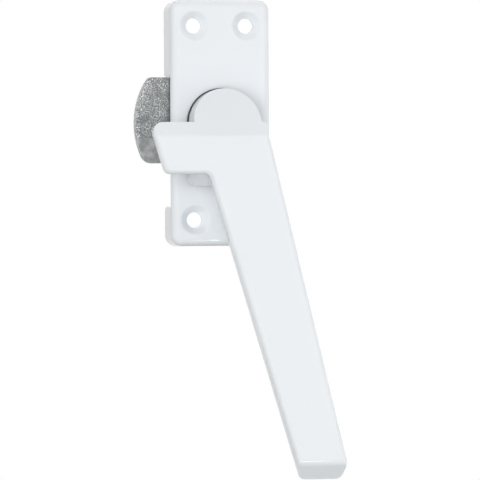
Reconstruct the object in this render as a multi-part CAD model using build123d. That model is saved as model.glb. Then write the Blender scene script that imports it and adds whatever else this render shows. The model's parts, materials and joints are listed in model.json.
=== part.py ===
from build123d import *
from math import acos, atan2, cos, hypot, radians, sin, tan
import os

# Surface-mounted casement lock: a hollow cast housing, a cast lever and a cam that swings out of the
# housing's side. Millimetres. The pieces are drawn lying on the mounting plane, x to the right,
# y up the sash and z out of it, with the spindle axis on z, and are stood upright when written.

# Housing
housing_width = 28.8
housing_height = 70.0
housing_depth = 11.5
housing_corner = 3.2        # corner radius seen from the front
housing_edge = 2.3          # rounding of the front edge
housing_draft = 1.0         # lean of the outer walls, degrees
side_wall = 2.2
front_wall = 2.0
cavity_corner = 1.2
stop_rib = 2.0              # thickness of the rib that stops the cam
rib_setback = 1.0           # the rib stays this far behind the mounting plane
slot_foot = 23.6            # lower end of the cam slot, below the axis
slot_corner = 0.8           # rounding of the slot's ends

# Screw holes, for 4 mm countersunk screws
screw_spacing_x = 15.0
screw_spacing_y = 55.0
screw_hole = 4.35
screw_sink = 8.2            # countersink diameter at the face
sink_angle = 90.0
sink_rim = 0.25             # chamfer of the countersink's rim
screw_boss = 8.4
boss_height = 1.2

# Bearing bush
journal = 12.0              # round part of the lever's spindle
bush_wall = 1.5
bush_flange = 19.6
flange_height = 1.5
flange_edge = 0.2           # chamfer of the flange's front edge
running_gap = 0.05          # journal to bush, and hub to flange

# Lever
hub = 19.1                  # hub diameter
hub_rim = 4.8               # height of the hub's wall at the top of the inclined face
hub_edge = 0.3              # rounding of the hub's lower edge
face_angle = 30.0           # slope of the inclined face, degrees
ridge_drop = 4.05           # ridge at the foot of the inclined face, below the axis
ridge_round = 1.8           # rounding of the ridge
face_round = 0.3            # rounding of the inclined face at the hub
shoulder_reach = 11.5       # ridge's right end, from the axis
nose_reach = 22.4           # nose's upper corner, from the axis
nose_top = 0.1              # below the axis
nose_bottom = 14.7
nose_thickness = 4.2
nose_back_round = 0.8
arm_lean = 13.35            # lean of the arm's outer edge, degrees
arm_root_width = 19.5       # across, at the nose's lower edge
arm_end_width = 14.5        # across, where the bevelled end starts
arm_thickness = 6.5
lever_length = 100.9        # axis to tip
tip_bevel_run = 4.7         # length of the bevelled end
tip_bevel_depth = 5.0
tip_taper = 1.5             # the bevelled end draws in by this on its outer side
tip_round = 3.0             # rounding of the bevel's front edge
front_round = 1.6
back_round = 1.8
nose_tip_corner = 2.9
nose_corner = 2.0
root_fillet = 2.0
tip_shoulder = 3.0          # rounding where the end starts to narrow
tip_corner = 2.0
heel_width = 20.4
heel_drop = 17.9            # lower end of the pedestal, below the axis
heel_round = 2.0
heel_overlap = 0.4          # the heel's slope runs this far into the nose

# Spindle, cam and its fixing
square = 8.0                # across the flats
square_gap = 0.05
corner_relief = 0.25        # the square's corners lie this far inside the journal
stack_gap = 0.2             # the square ends short of the cam's recess
cam_top = 13.0              # straight edge above the axis
cam_clearance = 0.5         # cam's arc to the lower screw bosses
cam_side_gap = 0.9          # cam's hub to the housing's wall
cam_back_gap = 3.0          # cam's back face to the mounting plane
cam_lead_corner = 1.0
cam_trail_corner = 3.4
cam_ramp_start = 4.0        # ramp on the front face, below the axis
cam_ramp_drop = 2.6
cam_ramp_edge = 0.6         # the ramp ends this far outside the cam's hub
cam_lead_ramp = 1.4         # depth of the lead-in on the back of the leading edge
cam_lead_run = 3.5
cam_shoulder = 5.0          # straight edge ends this far left of the axis
cam_edge = 0.7              # rounding of the cam's front edges
cam_back_edge = 0.4
stop_gap = 0.25             # straight edge to the slot's upper end
recess_gap = 0.5            # washer to the cam's recess
spring_height = 0.9         # housing to cam
spring_sheet = 0.25
spring_dia = 19.0
spring_bore_gap = 0.4
spring_seat_gap = 0.02
washer_dia = 12.0
washer_sheet = 1.0
screw_thread = 5.0
thread_gap = 0.03
thread_length = 7.0
thread_spare = 0.8          # the tapped hole is deeper by this
screw_head_dia = 9.5
screw_head_height = 2.0
screw_head_edge = 0.5
screw_socket = 3.0          # across the flats
socket_depth = 1.1
screw_back_gap = 1.1        # screw head to the mounting plane

# Levels along the axis
cavity_depth = housing_depth - front_wall
hub_base = housing_depth + flange_height + running_gap
face_slope = tan(radians(face_angle))
lever_front = hub_base + hub_rim + (hub / 2 + ridge_drop) * face_slope
cam_front = cavity_depth - spring_height
washer_back = screw_back_gap + screw_head_height
recess_floor = washer_back + washer_sheet
square_end = recess_floor + stack_gap

# Cam outline: its arc clears the lower screw bosses, its hub the side walls
cam_reach = hypot(screw_spacing_x / 2, screw_spacing_y / 2) - screw_boss / 2 - cam_clearance
cam_bottom = housing_width / 2 - side_wall - cam_side_gap
slot_head = cam_top + stop_gap

bush_bore = journal + 2 * (running_gap + bush_wall)

# Lever outline
arm_slope = tan(radians(arm_lean))
bevel_start = lever_length - tip_bevel_run
root_right = shoulder_reach + (nose_bottom - ridge_drop) * arm_slope
root_left = root_right - arm_root_width
end_right = shoulder_reach + (bevel_start - ridge_drop) * arm_slope
end_left = end_right - arm_end_width
inner_slope = (end_left - root_left) / (bevel_start - nose_bottom)
tip_right = end_right - tip_taper
tip_left = end_left + tip_bevel_run * inner_slope
nose_foot = -nose_reach + (nose_bottom - nose_top) * inner_slope

tolerance = 0.001
upright = Plane.XZ
inclined_face = Plane(
    origin=(0, -ridge_drop, lever_front),
    x_dir=(1, 0, 0),
    z_dir=(0, sin(radians(face_angle)), cos(radians(face_angle))),
)
heel_top = lever_front - nose_thickness + nose_back_round + heel_overlap
heel_face = Plane(
    origin=(0, -heel_drop, hub_base),
    x_dir=(1, 0, 0),
    z_dir=(0, hub_base - heel_top, heel_drop - nose_bottom + heel_overlap),
)


def at_level(sketch, level):
    return Pos(0, 0, level) * sketch


def disc(diameter, low, high):
    return extrude(at_level(Circle(diameter / 2), low), amount=high - low)


def ring(outer, inner, low, high):
    return disc(outer, low, high) - disc(inner, low, high)


def turned(*profile):
    return revolve(make_face(Plane.XZ * Polyline(*profile, close=True)), Axis.Z)


def side_wedge(left, right, *profile):
    wedge = make_face(Plane.YZ * Polyline(*profile, close=True))
    return Pos((left + right) / 2, 0, 0) * extrude(wedge, amount=(right - left) / 2, both=True)


def level_faces(body):
    return body.faces().filter_by(Plane.XY).sort_by(Axis.Z)


# Housing


def is_slot_end(edge):
    middle = edge.center()
    along_depth = abs(edge.tangent_at(0.5).Z) > 0.9
    at_wall = middle.X < -housing_width / 2 + side_wall / 2
    at_end = min(abs(middle.Y - slot_head), abs(middle.Y + slot_foot)) < slot_corner / 2
    return along_depth and at_wall and at_end


def is_sink_rim(edge):
    at_face = abs(edge.center().Z - housing_depth) < tolerance
    return at_face and edge.geom_type == GeomType.CIRCLE and abs(edge.radius - screw_sink / 2) < tolerance


def countersunk_hole():
    sink_depth = (screw_sink - screw_hole) / 2 / tan(radians(sink_angle / 2))
    return turned(
        (0, 0),
        (screw_hole / 2, 0),
        (screw_hole / 2, housing_depth - sink_depth),
        (screw_sink / 2, housing_depth),
        (0, housing_depth),
    )


def housing_part():
    outline = RectangleRounded(housing_width, housing_height, housing_corner)
    body = extrude(outline, amount=housing_depth, taper=housing_draft)
    body = fillet(level_faces(body)[-1].edges(), housing_edge)

    inner_width = housing_width - 2 * side_wall
    inner_height = housing_height - 2 * side_wall
    body -= extrude(RectangleRounded(inner_width, inner_height, cavity_corner), amount=cavity_depth)

    rib = Pos(0, slot_head + stop_rib / 2, rib_setback) * Rectangle(inner_width, stop_rib)
    body += extrude(rib, amount=cavity_depth - rib_setback)
    slot_middle = (slot_head - slot_foot) / 2
    slot = Pos(-housing_width / 2, slot_middle) * Rectangle(2 * side_wall, slot_head + slot_foot)
    body -= extrude(slot, amount=cavity_depth)
    body = fillet([e for e in body.edges() if is_slot_end(e)], slot_corner)

    hole = countersunk_hole()
    for place in GridLocations(screw_spacing_x, screw_spacing_y, 2, 2):
        body += place * disc(screw_boss, cavity_depth - boss_height, cavity_depth)
        body -= place * hole
    body = chamfer([e for e in body.edges() if is_sink_rim(e)], sink_rim)
    return body - disc(bush_bore, 0, housing_depth)


# Bearing bush and disc spring


def bush_part():
    bore = journal + 2 * running_gap
    flange = disc(bush_flange, housing_depth, housing_depth + flange_height)
    flange = chamfer(level_faces(flange)[-1].edges(), flange_edge)
    return flange + disc(bush_bore, cavity_depth, housing_depth) - disc(bore, cavity_depth, hub_base)


def spring_part():
    bore = journal / 2 + spring_bore_gap
    high = cavity_depth - spring_seat_gap
    low = cam_front + spring_seat_gap
    return turned(
        (bore, high),
        (bore, high - spring_sheet),
        (spring_dia / 2, low),
        (spring_dia / 2, low + spring_sheet),
    )


# Lever


def square_section(gap):
    side = square + 2 * gap
    return Rectangle(side, side) & Circle(journal / 2 - corner_relief + gap)


def lever_profile():
    head_drop = (hub + ridge_drop) * face_slope
    tip_end = -lever_length - tip_bevel_run
    outline = FilletPolyline(
        (hub, 0),
        (hub, lever_front - head_drop),
        (-ridge_drop, lever_front),
        (-bevel_start, lever_front),
        (tip_end, lever_front - 2 * tip_bevel_depth),
        (tip_end, 0),
        radius=[0, 0, ridge_round, tip_round, 0, 0],
        close=True,
    )
    return extrude(Plane.YZ * make_face(outline), amount=lever_length, both=True)


def lever_plate():
    arm_end = [(tip_left, -lever_length), (tip_right, -lever_length), (end_right, -bevel_start)]
    end_corners = [tip_corner, tip_corner, tip_shoulder]
    outline = FilletPolyline(
        *arm_end,
        (shoulder_reach, -ridge_drop),
        (shoulder_reach, -nose_top),
        (-nose_reach, -nose_top),
        (nose_foot, -nose_bottom),
        (root_left, -nose_bottom),
        radius=[*end_corners, 0, nose_corner, nose_tip_corner, nose_corner, root_fillet],
        close=True,
    )
    arm_outline = FilletPolyline(
        *arm_end,
        (shoulder_reach, -ridge_drop),
        (root_left - (nose_bottom - ridge_drop) * inner_slope, -ridge_drop),
        radius=[*end_corners, 0, 0],
        close=True,
    )
    plate = extrude(at_level(make_face(outline), lever_front), amount=-nose_thickness)
    plate = fillet(level_faces(plate)[0].edges(), nose_back_round)
    plate += extrude(at_level(make_face(arm_outline), lever_front), amount=-arm_thickness)
    plate = fillet(level_faces(plate)[-1].edges(), front_round)
    plate = fillet(level_faces(plate)[0].edges(), back_round)
    return plate & lever_profile()


def lever_heel():
    outline = Polyline(
        (-hub / 2, 0),
        (-heel_width / 2, -heel_drop),
        (heel_width / 2, -heel_drop),
        (hub / 2, 0),
        close=True,
    )
    heel = extrude(at_level(make_face(outline), hub_base), amount=heel_top - hub_base)
    heel = split(heel, bisect_by=heel_face, keep=Keep.BOTTOM)
    sloped = heel.faces().sort_by(Axis.Y)[0]
    corners = [e for e in sloped.edges() if abs(e.tangent_at(0.5).X) < 0.1]
    return fillet(corners, heel_round)


def lever_hub():
    body = split(disc(hub, hub_base, lever_front), bisect_by=inclined_face, keep=Keep.BOTTOM)
    body = fillet(body.faces().sort_by(Axis.Z)[-1].edges(), face_round)
    return fillet(level_faces(body)[0].edges(), hub_edge)


def lever_part():
    body = lever_plate() + lever_heel() + lever_hub()
    body += disc(journal, cam_front, hub_base)
    body += extrude(at_level(square_section(0), square_end), amount=cam_front - square_end)
    thread_end = washer_back + thread_length + thread_spare
    return body - disc(screw_thread + 2 * thread_gap, square_end, thread_end)


# Cam, clamp washer and cam screw


def cam_outline():
    shoulder_angle = atan2(cam_top, -cam_shoulder) - acos(cam_bottom / hypot(cam_shoulder, cam_top))
    sector = make_face(
        Polyline(
            (-cam_reach, cam_top),
            (-cam_shoulder, cam_top),
            (cam_bottom * cos(shoulder_angle), cam_bottom * sin(shoulder_angle)),
            (0, 0),
            (0, -cam_bottom),
            (-cam_reach, -cam_bottom),
            close=True,
        )
    )
    outline = (sector & Circle(cam_reach)) + Circle(cam_bottom)
    tips = outline.vertices().filter_by(lambda v: v.X < -cam_bottom).sort_by(Axis.Y)
    outline = fillet(tips[-1], cam_lead_corner)
    tips = outline.vertices().filter_by(lambda v: v.X < -cam_bottom).sort_by(Axis.Y)
    return fillet(tips[0], cam_trail_corner)


def cam_part():
    body = extrude(at_level(cam_outline(), cam_back_gap), amount=cam_front - cam_back_gap)
    body = fillet(level_faces(body)[-1].edges(), cam_edge)
    body = chamfer(level_faces(body)[0].edges(), cam_back_edge)
    ramp_left = -2 * cam_reach
    ramp_right = -cam_bottom - cam_ramp_edge
    body -= side_wedge(
        ramp_left,
        ramp_right,
        (-cam_ramp_start, cam_front),
        (-cam_bottom, cam_front),
        (-cam_bottom, cam_front - cam_ramp_drop),
    )
    body -= side_wedge(
        ramp_left,
        cam_reach,
        (cam_top, cam_back_gap),
        (cam_top - cam_lead_run, cam_back_gap),
        (cam_top, cam_back_gap + cam_lead_ramp),
    )
    body -= disc(washer_dia + 2 * recess_gap, cam_back_gap, recess_floor)
    return body - extrude(at_level(square_section(square_gap), recess_floor), amount=cam_front - recess_floor)


def washer_part():
    return ring(washer_dia, screw_thread + 2 * thread_gap, washer_back, recess_floor)


def screw_part():
    head = disc(screw_head_dia, screw_back_gap, washer_back)
    head = chamfer(level_faces(head)[0].edges(), screw_head_edge)
    socket = RegularPolygon(screw_socket / 2, 6, major_radius=False)
    head -= extrude(at_level(socket, screw_back_gap), amount=socket_depth)
    return head + disc(screw_thread, washer_back, washer_back + thread_length)


def write(name, shape):
    export_step(upright * shape, f"parts/{name}.step")


os.makedirs("parts", exist_ok=True)
write("housing", housing_part())
write("bearing_bush", bush_part())
write("disc_spring", spring_part())
write("lever", lever_part())
write("cam", cam_part())
write("clamp_washer", washer_part())
write("cam_screw", screw_part())
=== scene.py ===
import bpy
import json
import math
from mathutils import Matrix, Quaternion, Vector


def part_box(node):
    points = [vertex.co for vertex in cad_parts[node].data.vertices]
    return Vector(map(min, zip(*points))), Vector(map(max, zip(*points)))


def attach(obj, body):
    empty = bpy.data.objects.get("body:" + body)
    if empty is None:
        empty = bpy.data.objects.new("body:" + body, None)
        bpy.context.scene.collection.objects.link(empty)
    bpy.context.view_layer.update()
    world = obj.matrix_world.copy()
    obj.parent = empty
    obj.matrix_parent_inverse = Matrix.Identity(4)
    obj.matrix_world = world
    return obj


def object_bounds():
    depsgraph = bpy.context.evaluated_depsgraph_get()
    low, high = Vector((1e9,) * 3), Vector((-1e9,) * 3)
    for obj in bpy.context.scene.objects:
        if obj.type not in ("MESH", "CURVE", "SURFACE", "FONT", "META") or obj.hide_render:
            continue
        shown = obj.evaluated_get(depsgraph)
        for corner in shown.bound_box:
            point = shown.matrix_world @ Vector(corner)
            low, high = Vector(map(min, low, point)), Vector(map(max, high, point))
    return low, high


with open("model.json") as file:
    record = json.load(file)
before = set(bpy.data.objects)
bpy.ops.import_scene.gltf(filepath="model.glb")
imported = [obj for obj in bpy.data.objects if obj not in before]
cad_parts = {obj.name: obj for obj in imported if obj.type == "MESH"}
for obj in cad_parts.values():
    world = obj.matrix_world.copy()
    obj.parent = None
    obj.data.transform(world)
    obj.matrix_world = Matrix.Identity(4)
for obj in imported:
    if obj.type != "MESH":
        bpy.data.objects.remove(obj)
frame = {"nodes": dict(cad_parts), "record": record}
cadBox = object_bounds()
nodes = frame["nodes"]
print("lock frame loaded:", ", ".join(sorted(nodes)))


# node tree helpers

def addNode(tree, kind, values=None, **settings):
    node = tree.nodes.new(kind)
    for name, value in settings.items():
        setattr(node, name, value)
    for name, value in (values or {}).items():
        node.inputs[name].default_value = value
    return node


def join(tree, *ends):
    for start, end in zip(ends[::2], ends[1::2]):
        tree.links.new(start, end)


def newGroup(name, inputs, outputs):
    group = bpy.data.node_groups.new(name, "ShaderNodeTree")
    for label, value in inputs.items():
        kind = "NodeSocketVector" if value is None else "NodeSocketFloat"
        socket = group.interface.new_socket(label, in_out="INPUT", socket_type=kind)
        if value is not None:
            socket.default_value = value
    for label in outputs:
        group.interface.new_socket(label, in_out="OUTPUT", socket_type="NodeSocketFloat")
    return group, group.nodes.new("NodeGroupInput"), group.nodes.new("NodeGroupOutput")


def newMaterial(name):
    material = bpy.data.materials.new(name)
    material.use_nodes = True
    tree = material.node_tree
    return material, tree, tree.nodes["Principled BSDF"]


def remap(tree, value, low, high, newLow, newHigh):
    node = addNode(
        tree, "ShaderNodeMapRange",
        {"From Min": low, "From Max": high, "To Min": newLow, "To Max": newHigh},
    )
    join(tree, value, node.inputs["Value"])
    return node.outputs["Result"]


def rise(tree, value, low, high):
    return remap(tree, value, low, high, 0.0, 1.0)


def blendColours(tree, factor, first, second):
    node = addNode(tree, "ShaderNodeMix", data_type="RGBA")
    ends = {"A_Color": first, "B_Color": second}
    for socket in node.inputs:
        end = ends.get(socket.identifier)
        if isinstance(end, tuple):
            socket.default_value = (*end, 1)
        elif end:
            join(tree, end, socket)
    join(tree, factor, node.inputs["Factor"])
    return next(s for s in node.outputs if s.identifier == "Result_Color")


def overlap(tree, first, second):
    node = addNode(tree, "ShaderNodeMath", operation="MULTIPLY")
    join(tree, first, node.inputs[0], second, node.inputs[1])
    return node.outputs[0]


def bumpNormal(tree, height, strength, distance):
    node = addNode(tree, "ShaderNodeBump", {"Strength": strength, "Distance": distance})
    join(tree, height, node.inputs["Height"])
    return node.outputs["Normal"]


# finishes

surfaceGrain, grainIn, grainOut = newGroup(
    "surfaceGrain",
    {"Place": None, "Grain Scale": 900.0, "Cloud Scale": 70.0},
    ["Grain", "Cloud"],
)
for label, scaleName in (("Grain", "Grain Scale"), ("Cloud", "Cloud Scale")):
    layer = addNode(surfaceGrain, "ShaderNodeTexNoise", {"Detail": 2.0})
    join(
        surfaceGrain,
        grainIn.outputs["Place"], layer.inputs["Vector"],
        grainIn.outputs[scaleName], layer.inputs["Scale"],
        layer.outputs["Fac"], grainOut.inputs[label],
    )
noiseSpan = (0.3, 0.7)           # most of a noise's values lie in here


def placeGrain(tree, look):
    place = tree.nodes.new("ShaderNodeTexCoord").outputs["Object"]
    node = addNode(tree, "ShaderNodeGroup", node_tree=surfaceGrain)
    node.inputs["Grain Scale"].default_value = look["grainScale"]
    node.inputs["Cloud Scale"].default_value = look["cloudScale"]
    join(tree, place, node.inputs["Place"])
    return place, node.outputs["Grain"], node.outputs["Cloud"]


def dressShader(tree, shader, colour, gloss, normal):
    join(
        tree,
        colour, shader.inputs["Base Color"],
        gloss, shader.inputs["Roughness"],
        normal, shader.inputs["Normal"],
    )


lacquerLook = {
    "light": (0.862, 0.896, 0.922),
    "deep": (0.849, 0.885, 0.912),
    "roughness": (0.08, 0.12),
    "grainScale": 850.0,         # orange peel with ripples of about a millimetre
    "cloudScale": 60.0,
    "peelStrength": 0.05,
    "peelHeight": 0.0001,
}


def whiteLacquer(look):
    material, tree, shader = newMaterial("whiteLacquer")
    _, grain, cloud = placeGrain(tree, look)
    colour = blendColours(tree, cloud, look["deep"], look["light"])
    gloss = remap(tree, cloud, *noiseSpan, *look["roughness"])
    normal = bumpNormal(tree, grain, look["peelStrength"], look["peelHeight"])
    dressShader(tree, shader, colour, gloss, normal)
    return material


castLook = {
    "dark": (0.185, 0.195, 0.198),
    "pale": (0.79, 0.812, 0.82),
    "glint": (0.97, 0.98, 0.98),
    "ground": ((0.33, 0.342, 0.346), (0.62, 0.634, 0.638)),
    # colour of the painted shade where the cam enters the slot
    "slotShade": (0.2, 0.206, 0.21),
    "roughness": (0.35, 0.6),
    "metallic": 0.85,
    "grainScale": 2900.0,        # specks of about 0.3 mm
    "cloudScale": 420.0,         # worn patches of about 2 mm
    "specks": (0.4, 0.66),       # dark turns to pale over this span of the grain
    "glints": (0.62, 0.68),
    "rimGlints": (0.56, 0.61),
    "rim": (0.0016, 0.0008),     # the rim starts and is full this far inside the cam's outer arc
    "patches": (0.38, 0.58),     # span of the cloud over which specks come in
    "leastSpecks": 0.3,
    "wear": (0.35, 0.65),
    "rampTop": -0.004,           # the ramp is ground smooth below this
    "rampBack": -0.0058,         # and in front of this
    "rampPits": 0.3,
    "slotShadeLine": (-0.01445, -0.0136),   # painted shade: a dark line on the cam's face where it enters the slot, standing in for the shadow under the slot's lip
    "blur": 0.0003,
    "pitStrength": 0.8,
    "pitHeight": 0.00025,
}


def castZinc(look):
    material, tree, shader = newMaterial("castZinc")
    place, grain, cloud = placeGrain(tree, look)
    axes = addNode(tree, "ShaderNodeSeparateXYZ")
    flat = addNode(tree, "ShaderNodeCombineXYZ")
    fromAxis = addNode(tree, "ShaderNodeVectorMath", operation="LENGTH")
    join(
        tree,
        place, axes.inputs[0],
        axes.outputs["X"], flat.inputs["X"],
        axes.outputs["Z"], flat.inputs["Z"],
        flat.outputs["Vector"], fromAxis.inputs[0],
    )
    reach = -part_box("cam")[0].x
    onRim = rise(tree, fromAxis.outputs["Value"], *(reach - inset for inset in look["rim"]))
    blur = look["blur"]
    below = rise(tree, axes.outputs["Z"], look["rampTop"], look["rampTop"] - blur)
    inFront = rise(tree, axes.outputs["Y"], look["rampBack"], look["rampBack"] - blur)
    onRamp = overlap(tree, below, inFront)
    # painted shade: a narrow dark band on the cam's front, just inside the slot's lip
    outer, inner = look["slotShadeLine"]
    pastOuter = rise(tree, axes.outputs["X"], outer, outer + blur)
    beforeInner = rise(tree, axes.outputs["X"], inner, inner - blur)
    slotShaded = overlap(tree, overlap(tree, pastOuter, beforeInner), inFront)

    patch = remap(tree, cloud, *look["patches"], look["leastSpecks"], 1.0)
    speck = overlap(tree, rise(tree, grain, *look["specks"]), patch)
    glint = overlap(tree, rise(tree, grain, *look["glints"]), patch)
    rimGlint = overlap(tree, rise(tree, grain, *look["rimGlints"]), onRim)
    colour = blendColours(tree, speck, look["dark"], look["pale"])
    colour = blendColours(tree, glint, colour, look["glint"])
    colour = blendColours(tree, rimGlint, colour, look["glint"])
    smooth = blendColours(tree, rise(tree, cloud, *look["wear"]), *look["ground"])
    colour = blendColours(tree, onRamp, colour, smooth)
    # paints the shadow of the slot's lip onto the cam
    colour = blendColours(tree, slotShaded, colour, look["slotShade"])
    gloss = remap(tree, cloud, *noiseSpan, *look["roughness"])
    pits = overlap(tree, grain, remap(tree, onRamp, 0.0, 1.0, 1.0, look["rampPits"]))
    normal = bumpNormal(tree, pits, look["pitStrength"], look["pitHeight"])
    shader.inputs["Metallic"].default_value = look["metallic"]
    dressShader(tree, shader, colour, gloss, normal)
    return material


nylonLook = {
    "dark": (0.012, 0.012, 0.014),
    "pale": (0.02, 0.02, 0.023),
    "roughness": (0.38, 0.5),
    "grainScale": 3000.0,
    "cloudScale": 200.0,
    "grainStrength": 0.1,
    "grainHeight": 0.0001,
}


def blackNylon(look):
    material, tree, shader = newMaterial("blackNylon")
    _, grain, cloud = placeGrain(tree, look)
    colour = blendColours(tree, cloud, look["dark"], look["pale"])
    gloss = remap(tree, grain, *noiseSpan, *look["roughness"])
    normal = bumpNormal(tree, grain, look["grainStrength"], look["grainHeight"])
    dressShader(tree, shader, colour, gloss, normal)
    return material


turningLook = {
    "metallic": 1.0,
    "grainScale": 2500.0,
    "cloudScale": 300.0,
    "ringSpan": (0.0, 0.6),
    "ringStrength": 0.15,
    "ringHeight": 0.00003,
}
springLook = {
    **turningLook,
    "dark": (0.33, 0.33, 0.35),
    "pale": (0.46, 0.46, 0.48),
    "roughness": (0.25, 0.4),
    "rings": 900.0,
}
platedLook = {
    **turningLook,
    "dark": (0.52, 0.53, 0.55),
    "pale": (0.66, 0.67, 0.68),
    "roughness": (0.2, 0.35),
    "rings": 1400.0,
}


def turnedSteel(name, look):
    material, tree, shader = newMaterial(name)
    place, grain, cloud = placeGrain(tree, look)
    wave = addNode(
        tree, "ShaderNodeTexWave", {"Scale": look["rings"], "Distortion": 0.8, "Detail": 1.0},
        wave_type="RINGS", rings_direction="Y",
    )
    join(tree, place, wave.inputs["Vector"])
    rings = wave.outputs["Fac"]
    colour = blendColours(tree, cloud, look["dark"], look["pale"])
    gloss = remap(tree, overlap(tree, rings, grain), *look["ringSpan"], *look["roughness"])
    normal = bumpNormal(tree, rings, look["ringStrength"], look["ringHeight"])
    shader.inputs["Metallic"].default_value = look["metallic"]
    dressShader(tree, shader, colour, gloss, normal)
    return material


finishes = {
    "white_lacquer": whiteLacquer(lacquerLook),
    "cast_zinc": castZinc(castLook),
    "black_nylon": blackNylon(nylonLook),
    "spring_steel": turnedSteel("springSteel", springLook),
    "plated_steel": turnedSteel("platedSteel", platedLook),
}
for part in frame["record"]["subparts"]:
    nodes[part["node"]].data.materials[0] = finishes[part["material_slot"]]
print("finishes set:", len(finishes))


# round marks that the ejector pins leave inside the cast housing

markLook = {
    "radius": 0.0018,
    "height": 0.0003,
    "places": ((-0.009, 0.0185), (0.009, 0.0185), (0.0, 0.0295), (0.0, -0.0295)),   # x and z
}


def ejectorTree(finish):
    tree = bpy.data.node_groups.new("ejectorMarks", "GeometryNodeTree")
    tree.interface.new_socket("Geometry", in_out="INPUT", socket_type="NodeSocketGeometry")
    tree.interface.new_socket("Radius", in_out="INPUT", socket_type="NodeSocketFloat")
    tree.interface.new_socket("Height", in_out="INPUT", socket_type="NodeSocketFloat")
    tree.interface.new_socket("Geometry", in_out="OUTPUT", socket_type="NodeSocketGeometry")
    start, end = tree.nodes.new("NodeGroupInput"), tree.nodes.new("NodeGroupOutput")
    pin = addNode(tree, "GeometryNodeMeshCylinder", {"Vertices": 32})
    depth = addNode(tree, "ShaderNodeMath", operation="MULTIPLY")
    depth.inputs[1].default_value = 2.0          # half of it stands in the wall
    marks = addNode(tree, "GeometryNodeInstanceOnPoints", {"Rotation": (math.pi / 2, 0, 0)})
    solid = addNode(tree, "GeometryNodeRealizeInstances")
    paint = addNode(tree, "GeometryNodeSetMaterial", {"Material": finish})
    join(
        tree,
        start.outputs["Geometry"], marks.inputs["Points"],
        start.outputs["Radius"], pin.inputs["Radius"],
        start.outputs["Height"], depth.inputs[0],
        depth.outputs[0], pin.inputs["Depth"],
        pin.outputs["Mesh"], marks.inputs["Instance"],
        marks.outputs["Instances"], solid.inputs["Geometry"],
        solid.outputs["Geometry"], paint.inputs["Geometry"],
        paint.outputs["Geometry"], end.inputs["Geometry"],
    )
    return tree


def ejectorMarks(look):
    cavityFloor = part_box("bearing_bush")[1].y
    points = bpy.data.meshes.new("ejectorMarks")
    points.from_pydata([(x, cavityFloor, z) for x, z in look["places"]], [], [])
    marks = bpy.data.objects.new("ejectorMarks", points)
    bpy.context.scene.collection.objects.link(marks)
    modifier = marks.modifiers.new("marks", "NODES")
    modifier.node_group = ejectorTree(finishes["white_lacquer"])
    sizes = {"Radius": look["radius"], "Height": look["height"]}
    for item in modifier.node_group.interface.items_tree:
        if item.in_out == "INPUT" and item.name in sizes:
            modifier[item.identifier] = sizes[item.name]
    seen = marks.evaluated_get(bpy.context.evaluated_depsgraph_get())
    mesh = bpy.data.meshes.new_from_object(seen)
    marks.modifiers.remove(modifier)
    marks.data = mesh
    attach(marks, "base")
    return len(mesh.polygons)


print("ejector marks made, faces:", ejectorMarks(markLook))


# studio

floorLook = {
    "drop": 0.27,                # below the lever's tip
    "radius": 1.0,
    "sides": 64,
    "colour": (0.72, 0.72, 0.72),
    "roughness": 0.9,
    "glow": 0.53,                # lifts the floor towards white, for the camera only
}


def plainFloor(look):
    level = cadBox[0].z - look["drop"]
    angles = [math.tau * i / look["sides"] for i in range(look["sides"])]
    corners = [(look["radius"] * math.cos(a), look["radius"] * math.sin(a), level) for a in angles]
    mesh = bpy.data.meshes.new("floor")
    mesh.from_pydata(corners, [], [list(range(look["sides"]))])
    floor = bpy.data.objects.new("floor", mesh)
    bpy.context.scene.collection.objects.link(floor)
    material, tree, shader = newMaterial("floorPaint")
    shader.inputs["Base Color"].default_value = (*look["colour"], 1)
    shader.inputs["Roughness"].default_value = look["roughness"]
    shader.inputs["Emission Color"].default_value = (1, 1, 1, 1)
    path = addNode(tree, "ShaderNodeLightPath")
    glow = remap(tree, path.outputs["Is Camera Ray"], 0.0, 1.0, 0.0, look["glow"])
    join(tree, glow, shader.inputs["Emission Strength"])
    mesh.materials.append(material)


worldLook = {
    "ambient": 0.02,             # what the white surroundings add to the lamps
    "seen": 1.0,                 # how white they are to the camera and in reflections
}


def whiteWorld(look):
    world = bpy.data.worlds.new("studioWorld")
    world.use_nodes = True
    bpy.context.scene.world = world
    tree = world.node_tree
    backdrop = tree.nodes["Background"]
    backdrop.inputs["Color"].default_value = (1, 1, 1, 1)
    path = addNode(tree, "ShaderNodeLightPath")
    sharp = addNode(tree, "ShaderNodeMath", operation="MAXIMUM")
    clear = addNode(tree, "ShaderNodeMath", operation="MAXIMUM")
    join(
        tree,
        path.outputs["Is Camera Ray"], sharp.inputs[0],
        path.outputs["Is Glossy Ray"], sharp.inputs[1],
        sharp.outputs[0], clear.inputs[0],
        path.outputs["Is Transmission Ray"], clear.inputs[1],
    )
    strength = remap(tree, clear.outputs[0], 0.0, 1.0, look["ambient"], look["seen"])
    join(tree, strength, backdrop.inputs["Strength"])


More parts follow.
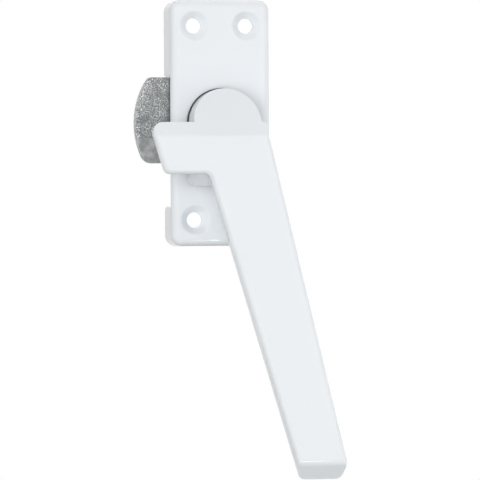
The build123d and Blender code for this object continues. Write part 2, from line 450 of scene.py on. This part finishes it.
# a mirrored lamp also shows in reflections
lampLooks = {
    "leftPanel": {"azimuth": -36, "elevation": 4, "distance": 2.4, "size": 2.0, "power": 31.1},
    "leftFar": {"azimuth": -85, "elevation": 4, "distance": 2.4, "size": 2.0, "power": 7.1},
    "frontBox": {"azimuth": -10, "elevation": 8, "distance": 1.5, "size": 1.0, "power": 4.6},
    "rightPanel": {"azimuth": 70, "elevation": 5, "distance": 2.4, "size": 2.0, "power": 17.9},
    "highBox": {"azimuth": 30, "elevation": 50, "distance": 2.2, "size": 1.4, "power": 10.0},
    "backBox": {"azimuth": 157, "elevation": 14, "distance": 2.4, "size": 0.8, "power": 22.0},
    "topStrip": {
        "azimuth": 0, "elevation": 108, "distance": 0.2,
        "size": 0.12, "height": 0.04, "power": 0.11,
    },
    "sideStrip": {
        "azimuth": 25, "elevation": 0, "distance": 1.5,
        "size": 0.1, "height": 1.4, "power": 1.5, "mirrored": True,
    },
    "lowStrip": {
        "azimuth": 11.0, "elevation": -38, "distance": 0.5,
        "size": 0.035, "height": 0.035, "power": 0.058, "mirrored": True,
    },
    "tipStrip": {
        "azimuth": 14.3, "elevation": -35.5, "distance": 0.5,
        "size": 0.02, "height": 0.035, "power": 0.02, "mirrored": True,
    },
    "rightFar": {
        "azimuth": 103, "elevation": 1, "distance": 2.4,
        "size": 2.2, "power": 11.0, "mirrored": True,
    },
}


def aroundLock(azimuth, elevation, distance):
    a, e = math.radians(azimuth), math.radians(elevation)
    return Vector((math.sin(a) * math.cos(e), -math.cos(a) * math.cos(e), math.sin(e))) * distance


def softLamp(name, look, aim):
    light = bpy.data.lights.new(name, "AREA")
    light.shape = "RECTANGLE"
    light.size = look["size"]
    light.size_y = look.get("height", look["size"])
    light.energy = look["power"]
    lamp = bpy.data.objects.new(name, light)
    bpy.context.scene.collection.objects.link(lamp)
    lamp.location = aim + aroundLock(look["azimuth"], look["elevation"], look["distance"])
    lamp.rotation_euler = (aim - lamp.location).to_track_quat("-Z", "Y").to_euler()
    lamp.visible_camera = False
    lamp.visible_glossy = look.get("mirrored", False)


cameraLook = {
    "aim": (0.00527, -0.0115, -0.03325),
    "azimuth": -10.0,            # the lock is seen a little from its left
    "roll": -0.36,               # degrees, the lock leans a little to the left in the picture
    "distance": 1.2,
    "frameWidth": 0.13608,       # across the picture, at the aim point
    "sensor": 36.0,
}


def lockCamera(look):
    data = bpy.data.cameras.new("lockCamera")
    camera = bpy.data.objects.new("lockCamera", data)
    bpy.context.scene.collection.objects.link(camera)
    aim = Vector(look["aim"])
    camera.location = aim + aroundLock(look["azimuth"], 0, look["distance"])
    turn = (aim - camera.location).to_track_quat("-Z", "Y")
    roll = Quaternion((0, 0, 1), math.radians(look["roll"]))
    camera.rotation_euler = (turn @ roll).to_euler()
    data.sensor_width = look["sensor"]
    data.lens = look["sensor"] * look["distance"] / look["frameWidth"]
    bpy.context.scene.camera = camera
    return aim


aim = lockCamera(cameraLook)
plainFloor(floorLook)
whiteWorld(worldLook)
for name, look in lampLooks.items():
    softLamp(name, look, aim)
bpy.context.scene.view_settings.view_transform = "Standard"
print("studio and camera set")
